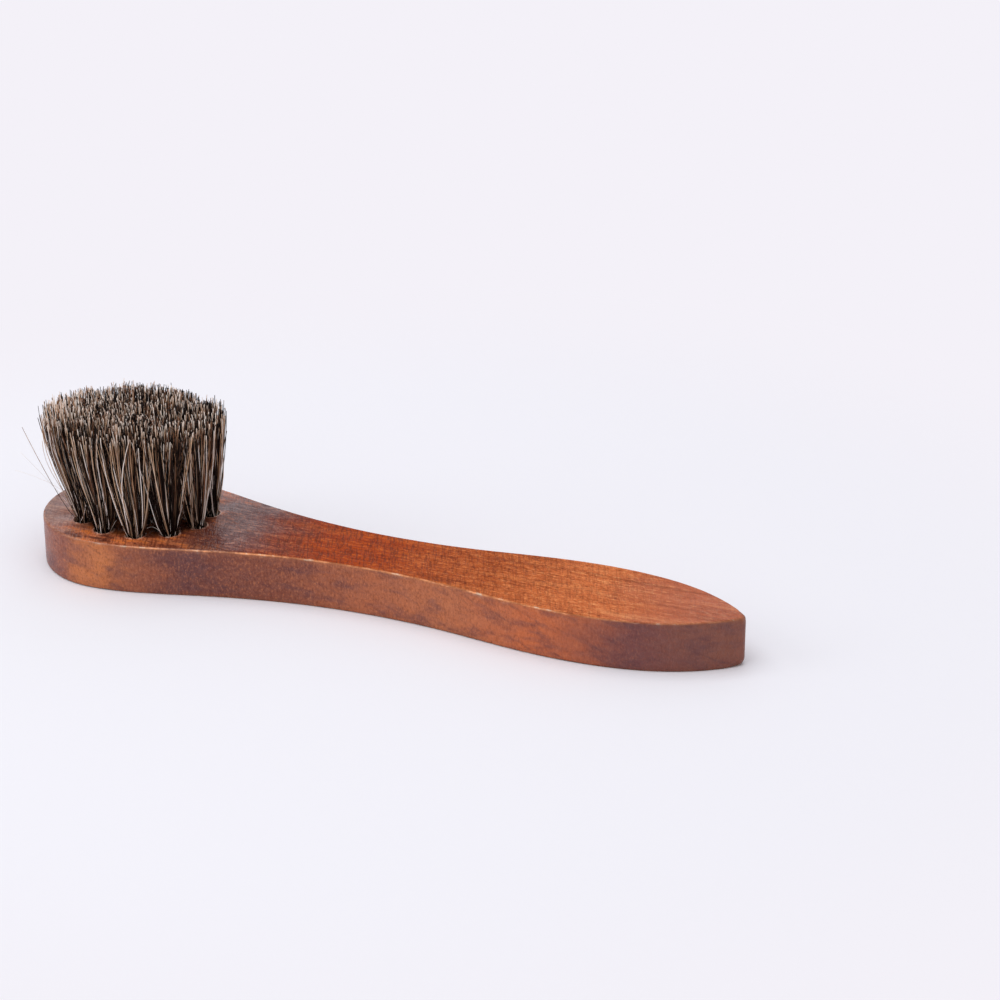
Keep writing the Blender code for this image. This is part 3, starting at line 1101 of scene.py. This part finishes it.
def hair_tone(chance, tip):
    """A hair's tone from dark to pale, often its neighbours', with painted light making it fairer towards
    the head's end.
    """
    kind = chance.random()
    if chance.random() < LIKE_NEIGHBOURS:
        shared = noise.cell(tip.to_3d() / POINT_PITCH + Vector((0.5, 0.5, 7)))
        kind = NEIGHBOUR_KIND_LOW + NEIGHBOUR_KIND_RANGE * shared
    towards_end = ease(((tip - TRIM_MIDDLE).dot(HEAD_END_LIGHT_SIDE) / TRIM_HALF_LENGTH - 0.3) / 0.6)
    kind += (1 - kind) * HEAD_END_LIGHT_SHARE * towards_end
    tones = next(tones for limit, tones in HAIR_KINDS if kind < limit)
    return chance.uniform(*tones)


def scatter(chance, spread):
    """A random step seen from above."""
    return Vector((chance.gauss(0, spread), chance.gauss(0, spread)))


def spoke(turn, reach):
    """A step in a direction seen from above."""
    return Vector((math.cos(turn), math.sin(turn))) * reach


def tuft_hairs(root, settings, chance):
    """Each hair of one tuft: its line, its radius and its tone from dark to pale."""
    hairs = []
    middle = tuft_tip(root)
    bundle = settings.bundle_diameter / 2 * chance.uniform(0.9, 1.1)
    lie = Vector((chance.uniform(-0.2, 0.2), chance.uniform(-0.2, 0.2))) * MM
    for number in range(settings.hairs_per_tuft):
        share = math.sqrt((number + 0.5) / settings.hairs_per_tuft)
        turn = number * GOLDEN_ANGLE + chance.uniform(-0.2, 0.2)
        crossed = turn + chance.gauss(0, CROSSING)
        foot = root + lie + spoke(crossed, share) * bundle
        opening = settings.tuft_spread * chance.uniform(0.80, 1.15)
        if chance.random() < WIDE_SHARE:
            opening *= chance.uniform(1.15, 1.9)
        tip = middle + spoke(turn, share) * opening + scatter(chance, TIP_JITTER)
        tip = held_in_trim(clung(tip, chance.uniform(0.15, 0.6)), chance)
        height = trim_height(tip, chance, settings)
        bow = chance.uniform(0.60, 1.05)
        sway = scatter(chance, SWAY)
        if chance.random() < CURLY_SHARE:
            sway *= 2
        tone = hair_tone(chance, tip)
        radius = settings.hair_diameter / 2 * chance.uniform(0.72, 1.05)
        if tone > WHITE_FROM:
            radius *= WHITE_THICKNESS
        hairs.append((hair_line(foot, tip, height, middle - root, bow, sway), radius, tone))
    return hairs


def loose_hairs(number, root, settings):
    """The few hairs of one tuft that stand away from it."""
    hairs = []
    for tuft, foot, tip, bow, thickness, tone in LOOSE_HAIRS:
        if tuft == number:
            start = root + Vector(foot) * MM
            end = Vector((BOARD_LOW.x + tip[0] * MM, tip[1] * MM))
            line = hair_line(start, end, tip[2] * MM, Vector((0, 0)), bow, LOOSE_SWAY)
            hairs.append((line, settings.hair_diameter / 2 * thickness, tone))
    if number == ARCHED_HAIR_TUFT:
        hairs.append((arched_line(), settings.hair_diameter * 0.5, 1.0))
    return hairs


def bend_strands(bm, hairs):
    """Bends each copied strand to its hair's line and marks its tone and height there."""
    tone_layer = bm.verts.layers.float.new("tone")
    height_layer = bm.verts.layers.float.new("height")
    bm.verts.ensure_lookup_table()
    each = len(bm.verts) // len(hairs)
    for index, point in enumerate(bm.verts):
        line, radius, tone = hairs[index // each]
        ring = round(point.co.z)
        share = max(0.0, ring - len(INSIDE_HEIGHTS)) / (len(OUTSIDE_SHARES) - 1)
        taper = radius * (1 - 0.25 * share)
        middle = line[ring]
        point.co = (middle.x + point.co.x * taper, middle.y + point.co.y * taper, middle.z)
        point[tone_layer] = tone
        point[height_layer] = share


def make_tuft(number, root, template, material, settings):
    """One tuft of hairs, standing in its hole out of sight and fanned out above it."""
    chance = random.Random(FIRST_SEED + number)
    hairs = tuft_hairs(root, settings, chance) + loose_hairs(number, root, settings)
    bm = bmesh.new()
    for _ in hairs:
        bm.from_mesh(template)
    bend_strands(bm, hairs)
    return finish_mesh(f"horsehair_{number:02d}", bm, material, math.radians(180))


def make_backdrop(settings):
    """A seamless sweep of paper: flat under the brush, curved up far behind it."""
    bm = bmesh.new()
    start = bm.verts.new((-PAPER_HALF_WIDTH, PAPER_FRONT, -PAPER_UNDER_BRUSH))
    end = bm.verts.new((-PAPER_HALF_WIDTH, PAPER_BACK, -PAPER_UNDER_BRUSH))
    bm.edges.new((start, end))
    curve = bmesh.ops.spin(
        bm,
        geom=[end],
        cent=(-PAPER_HALF_WIDTH, PAPER_BACK, PAPER_BEND_RADIUS),
        axis=(1, 0, 0),
        angle=math.pi / 2,
        steps=PAPER_BEND_STEPS,
        use_merge=False,
    )["geom_last"]
    lifted = bmesh.ops.extrude_vert_indiv(bm, verts=picked(curve, BMVert))["verts"]
    bmesh.ops.translate(bm, verts=lifted, vec=(0, 0, PAPER_RISE))
    wide = bmesh.ops.extrude_edge_only(bm, edges=list(bm.edges))["geom"]
    bmesh.ops.translate(bm, verts=picked(wide, BMVert), vec=(2 * PAPER_HALF_WIDTH, 0, 0))
    bmesh.ops.recalc_face_normals(bm, faces=bm.faces)
    return finish_mesh("backdrop", bm, paper_material(settings), math.radians(40))


def add_lamp(name, place, target, size, power, colour):
    """Adds a large square soft lamp, aimed at a point."""
    data = bpy.data.lights.new(name, "AREA")
    data.shape = "SQUARE"
    data.size = size
    data.energy = power
    data.color = colour
    lamp = bpy.data.objects.new(name, data)
    bpy.context.scene.collection.objects.link(lamp)
    lamp.location = place
    lamp.rotation_euler = (Vector(target) - Vector(place)).to_track_quat("-Z", "Y").to_euler()


class POLISHBRUSH_OT_board(bpy.types.Operator):
    """Builds the stained and lacquered board with its drilled holes"""

    bl_idname = "polish_brush.board"
    bl_label = "Make board"

    def execute(self, context):
        roots = [tuft_root(name) for name in WIRE_NODES]
        if not roots:
            raise RuntimeError("the packed frame has no anchor wires to centre the holes on")
        board = make_board(context.scene.brush_board, roots)
        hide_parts(BOARD_NODE)
        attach(board, "root")
        return {"FINISHED"}


class POLISHBRUSH_OT_bristles(bpy.types.Operator):
    """Builds the tufts of horsehair, one piece for each hole"""

    bl_idname = "polish_brush.bristles"
    bl_label = "Make bristles"

    def execute(self, context):
        settings = context.scene.brush_bristles
        if len(TUFT_NODES) != len(WIRE_NODES):
            raise RuntimeError("the packed frame has tufts without a wire, or wires without a tuft")
        noise.seed_set(FIRST_SEED)
        template = strand_template()
        material = hair_material(settings)
        for number, (node, wire) in enumerate(zip(TUFT_NODES, WIRE_NODES), start=1):
            tuft = make_tuft(number, tuft_root(wire), template, material, settings)
            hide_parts(node)
            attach(tuft, "root")
        bpy.data.meshes.remove(template)
        return {"FINISHED"}


class POLISHBRUSH_OT_anchors(bpy.types.Operator):
    """Gives the anchor wires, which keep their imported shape, their steel finish"""

    bl_idname = "polish_brush.anchors"
    bl_label = "Finish anchor wires"

    def execute(self, context):
        material = wire_material(context.scene.brush_anchors)
        for name in WIRE_NODES:
            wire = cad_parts[name]
            wire.material_slots[0].link = "OBJECT"
            wire.material_slots[0].material = material
        return {"FINISHED"}


class POLISHBRUSH_OT_stage(bpy.types.Operator):
    """Sets the floor, the lamps, the sky and the camera"""

    bl_idname = "polish_brush.stage"
    bl_label = "Set stage"

    def execute(self, context):
        scene = context.scene
        settings = scene.brush_stage
        make_backdrop(settings)
        scene.world = sky_world(settings)
        for name, place, target, size, share, colour in LAMPS:
            add_lamp(name, place, target, size, settings.lamp_power * share, colour)

        lens = bpy.data.cameras.new("picture_camera")
        lens.lens = CAMERA_LENS
        lens.sensor_width = CAMERA_SENSOR
        lens.clip_start = 0.01
        camera = bpy.data.objects.new("picture_camera", lens)
        scene.collection.objects.link(camera)
        camera.location = CAMERA_PLACE
        camera.rotation_euler = CAMERA_TURN
        scene.camera = camera
        scene.view_settings.view_transform = "Standard"
        return {"FINISHED"}


class POLISHBRUSH_PT_panel(bpy.types.Panel):
    """Lists the brush's settings and the steps that build it"""

    bl_label = "Polish brush"
    bl_idname = "POLISHBRUSH_PT_panel"
    bl_space_type = "VIEW_3D"
    bl_region_type = "UI"
    bl_category = "Polish brush"

    def draw(self, context):
        for operator, settings in STEPS:
            box = self.layout.box()
            group = getattr(context.scene, settings)
            for name in group.bl_rna.properties.keys():
                if name not in ("rna_type", "name"):
                    box.prop(group, name)
            box.operator(operator.bl_idname)


STEPS = (
    (POLISHBRUSH_OT_board, "brush_board"),
    (POLISHBRUSH_OT_bristles, "brush_bristles"),
    (POLISHBRUSH_OT_anchors, "brush_anchors"),
    (POLISHBRUSH_OT_stage, "brush_stage"),
)
SETTINGS = (
    ("brush_board", BrushBoardSettings),
    ("brush_bristles", BrushBristleSettings),
    ("brush_anchors", BrushAnchorSettings),
    ("brush_stage", BrushStageSettings),
)


def register():
    for name, group in SETTINGS:
        bpy.utils.register_class(group)
        setattr(bpy.types.Scene, name, PointerProperty(type=group))
    for operator, _ in STEPS:
        bpy.utils.register_class(operator)
    bpy.utils.register_class(POLISHBRUSH_PT_panel)


def unregister():
    bpy.utils.unregister_class(POLISHBRUSH_PT_panel)
    for operator, _ in reversed(STEPS):
        bpy.utils.unregister_class(operator)
    for name, group in reversed(SETTINGS):
        delattr(bpy.types.Scene, name)
        bpy.utils.unregister_class(group)


def main():
    """Builds the brush and its stage."""
    register()
    bpy.ops.polish_brush.board()
    bpy.ops.polish_brush.bristles()
    bpy.ops.polish_brush.anchors()
    bpy.ops.polish_brush.stage()


if __name__ == "__main__":
    main()
